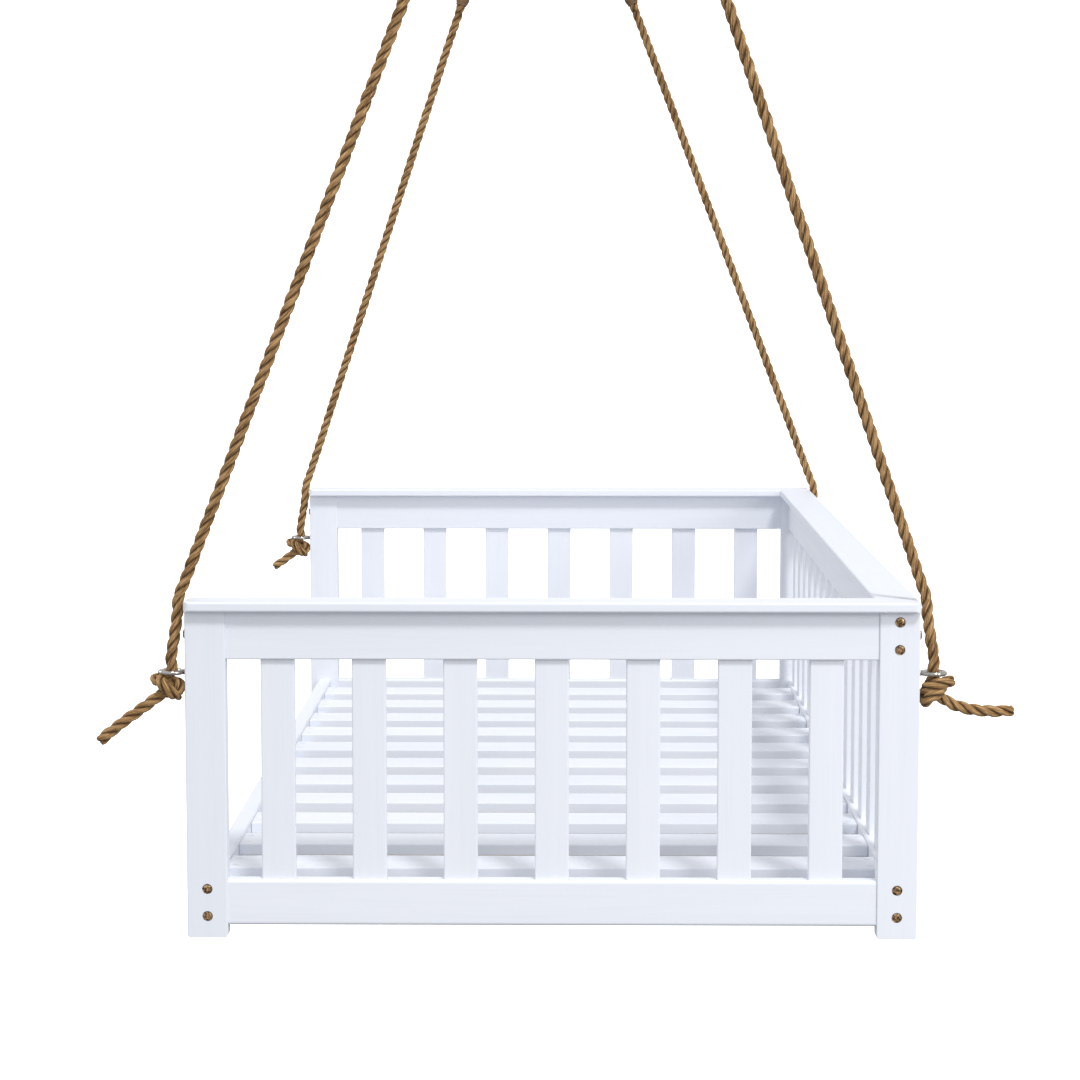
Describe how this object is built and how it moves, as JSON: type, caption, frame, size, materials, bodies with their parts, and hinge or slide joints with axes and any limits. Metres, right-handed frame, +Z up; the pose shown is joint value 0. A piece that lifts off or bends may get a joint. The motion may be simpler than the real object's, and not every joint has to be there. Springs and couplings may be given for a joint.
{
  "type": "baby swing",
  "caption": "White slatted bed swing with baluster guard rails on three sides, low open left side, hung on knotted three-strand ropes from ceiling rings.",
  "frame": {"origin": "middle of the ceiling plane, above the middle of the swing and between the four ring fittings", "axes": "+X to the swing's guard-railed side, which is on the right in the picture, +Y along its length away from the viewer, +Z up"},
  "size_m": [1.324, 2.0508, 1.72],
  "materials": {
    "white_paint": "satin white paint on wood",
    "yellow_zinc": "yellow zinc plate",
    "zinc_steel": "bright zinc plate",
    "rope": "three-strand natural fibre rope",
    "twine": "tarred twine"
  },
  "bodies": {
    "ceiling": {"ceiling_rings": "zinc_steel"},
    "front_ropes": {"rope_front_left": "rope", "rope_front_right": "rope", "thimble_front_left": "zinc_steel", "thimble_front_right": "zinc_steel", "seizing_front_left": "twine", "seizing_front_right": "twine"},
    "back_ropes": {"rope_back_left": "rope", "rope_back_right": "rope", "thimble_back_left": "zinc_steel", "thimble_back_right": "zinc_steel", "seizing_back_left": "twine", "seizing_back_right": "twine"},
    "bed": {"post_front_left": "white_paint", "post_front_right": "white_paint", "post_back_left": "white_paint", "post_back_right": "white_paint", "cap_front": "white_paint", "cap_back": "white_paint", "cap_side": "white_paint", "top_rail_front": "white_paint", "top_rail_back": "white_paint", "top_rail_side": "white_paint", "bottom_rail_front": "white_paint", "bottom_rail_back": "white_paint", "bottom_rail_left": "white_paint", "bottom_rail_right": "white_paint", "ledger_left": "white_paint", "ledger_right": "white_paint", "slat_01": "white_paint", "slat_02": "white_paint", "slat_03": "white_paint", "slat_04": "white_paint", "slat_05": "white_paint", "slat_06": "white_paint", "slat_07": "white_paint", "slat_08": "white_paint", "slat_09": "white_paint", "slat_10": "white_paint", "slat_11": "white_paint", "front_balusters": "white_paint", "back_balusters": "white_paint", "side_balusters": "white_paint", "side_rail_bolts": "yellow_zinc", "end_rail_bolts": "yellow_zinc", "barrel_nuts": "zinc_steel", "slat_staples": "zinc_steel", "eye_bolts": "zinc_steel", "knot_front_left": "rope", "knot_front_right": "rope", "knot_back_left": "rope", "knot_back_right": "rope", "tail_front_left": "rope", "tail_front_right": "rope", "tail_back_left": "rope", "tail_back_right": "rope"}
  },
  "joints": [
    {"name": "swing", "type": "hinge", "parent": "ceiling", "child": "front_ropes", "pos_m": [0, -0.9935, -0.075], "axis": [1, 0, 0], "range_deg": [-12, 12]},
    {"name": "front_eyes", "type": "hinge", "parent": "front_ropes", "child": "bed", "pos_m": [0, -0.9935, -1.278], "axis": [1, 0, 0], "range_deg": [-12, 12]},
    {"name": "back_eyes", "type": "hinge", "parent": "bed", "child": "back_ropes", "pos_m": [0, 0.9935, -1.278], "axis": [1, 0, 0], "range_deg": [-12, 12]}
  ],
  "couplings": [
    {"joint": "front_eyes", "follows": "swing", "ratio": -1},
    {"joint": "back_eyes", "follows": "swing", "ratio": 1}
  ]
}
